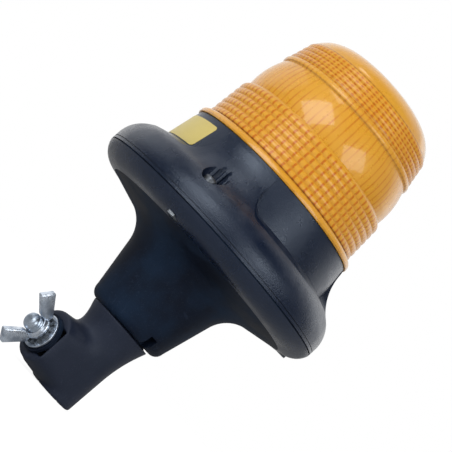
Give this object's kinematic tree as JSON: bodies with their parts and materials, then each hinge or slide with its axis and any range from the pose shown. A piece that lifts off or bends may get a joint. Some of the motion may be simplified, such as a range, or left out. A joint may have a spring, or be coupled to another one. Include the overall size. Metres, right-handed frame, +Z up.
{
  "type": "xenon strobe beacon",
  "caption": "Amber strobe beacon with a ribbed dome lens on a black brimmed housing, a flexible rubber neck and a pole socket clamped by a wing nut.",
  "frame": {"origin": "centre of the pole socket's mouth", "axes": "+Z up the beacon's axis from the socket's mouth to the lens, -X towards the wing nut"},
  "size_m": [0.16, 0.16, 0.2497],
  "materials": {
    "amber_plastic": "clear amber polycarbonate, ribbed",
    "black_plastic": "fine-grained black moulding",
    "black_rubber": "smooth black rubber",
    "zinc_steel": "bright zinc plate",
    "nylon": "natural nylon",
    "brass": "plain brass",
    "red_insulation": "red wire insulation",
    "dark_insulation": "black wire insulation",
    "label_yellow": "pale yellow film, blank",
    "aluminium": "mill finish",
    "capacitor_sleeve": "dark blue sleeve",
    "board_green": "green solder mask",
    "ferrite": "dark ferrite with its winding",
    "coil_yellow": "taped coil",
    "component_black": "moulded package",
    "resistor_tan": "lacquered body",
    "ceramic": "white ceramic",
    "quartz": "clear quartz",
    "bright_reflector": "polished"
  },
  "bodies": {
    "mount_base": {"pole_socket": "black_plastic", "rubber_washer": "black_rubber", "flat_washer": "zinc_steel", "lock_washer": "zinc_steel", "contact_carrier": "nylon", "contact_spring": "zinc_steel", "live_terminal": "brass", "earth_contact": "brass", "neck_nut": "nylon"},
    "clamp": {"clamp_eyebolt": "zinc_steel"},
    "wing_nut": {"wing_nut": "zinc_steel"},
    "contact": {"centre_contact": "brass"},
    "lens": {"lens": "amber_plastic"},
    "head": {"live_wire": "red_insulation", "earth_wire": "dark_insulation", "flex_boot": "black_rubber", "lower_ring": "black_plastic", "boot_clamp_plate": "zinc_steel", "plate_screws": "zinc_steel", "housing_seal": "black_rubber", "upper_housing": "black_plastic", "housing_bolts": "zinc_steel", "housing_nuts": "zinc_steel", "blank_label": "label_yellow", "chassis_plate": "aluminium", "chassis_screws": "zinc_steel", "board_spacers": "nylon", "board_screws": "zinc_steel", "circuit_board": "board_green", "storage_capacitor": "capacitor_sleeve", "inverter_transformer": "ferrite", "trigger_coil": "coil_yellow", "heat_sink": "aluminium", "power_transistor": "component_black", "resistors": "resistor_tan", "terminal_block": "nylon", "tube_leads": "brass", "lead_grommet": "black_rubber", "tube_holder": "ceramic", "flash_tube": "quartz", "tube_electrodes": "aluminium", "trigger_wire": "zinc_steel", "reflector": "bright_reflector", "lens_gasket": "black_rubber"}
  },
  "joints": [
    {"name": "wing_nut_spin", "type": "hinge", "parent": "mount_base", "child": "wing_nut", "pos_m": [-0.0365, 0, 0.0194], "axis": [1, 0, 0], "range_deg": [0, 125]},
    {"name": "clamp_pull", "type": "slide", "parent": "mount_base", "child": "clamp", "axis": [-1, 0, 0], "range_m": [0, 0.00052]},
    {"name": "contact_press", "type": "slide", "parent": "mount_base", "child": "contact", "axis": [0, 0, 1], "range_m": [0, 0.003], "stiffness_N_per_m": 600, "springref_m": -0.004, "deforming": ["contact_spring"]},
    {"name": "neck_tilt", "type": "hinge", "parent": "mount_base", "child": "head", "pos_m": [0, 0, 0.075], "axis": [0, 1, 0], "range_deg": [-15, 15], "stiffness_Nm_per_rad": 20, "deforming": ["flex_boot", "live_wire", "earth_wire"]},
    {"name": "lens_twist", "type": "hinge", "parent": "head", "child": "lens", "pos_m": [0, 0, 0.1624], "axis": [0, 0, 1], "range_deg": [0, 30]}
  ],
  "couplings": [
    {"joint": "wing_nut_spin", "follows": "clamp_pull", "rad_per_m": 4188.8}
  ]
}
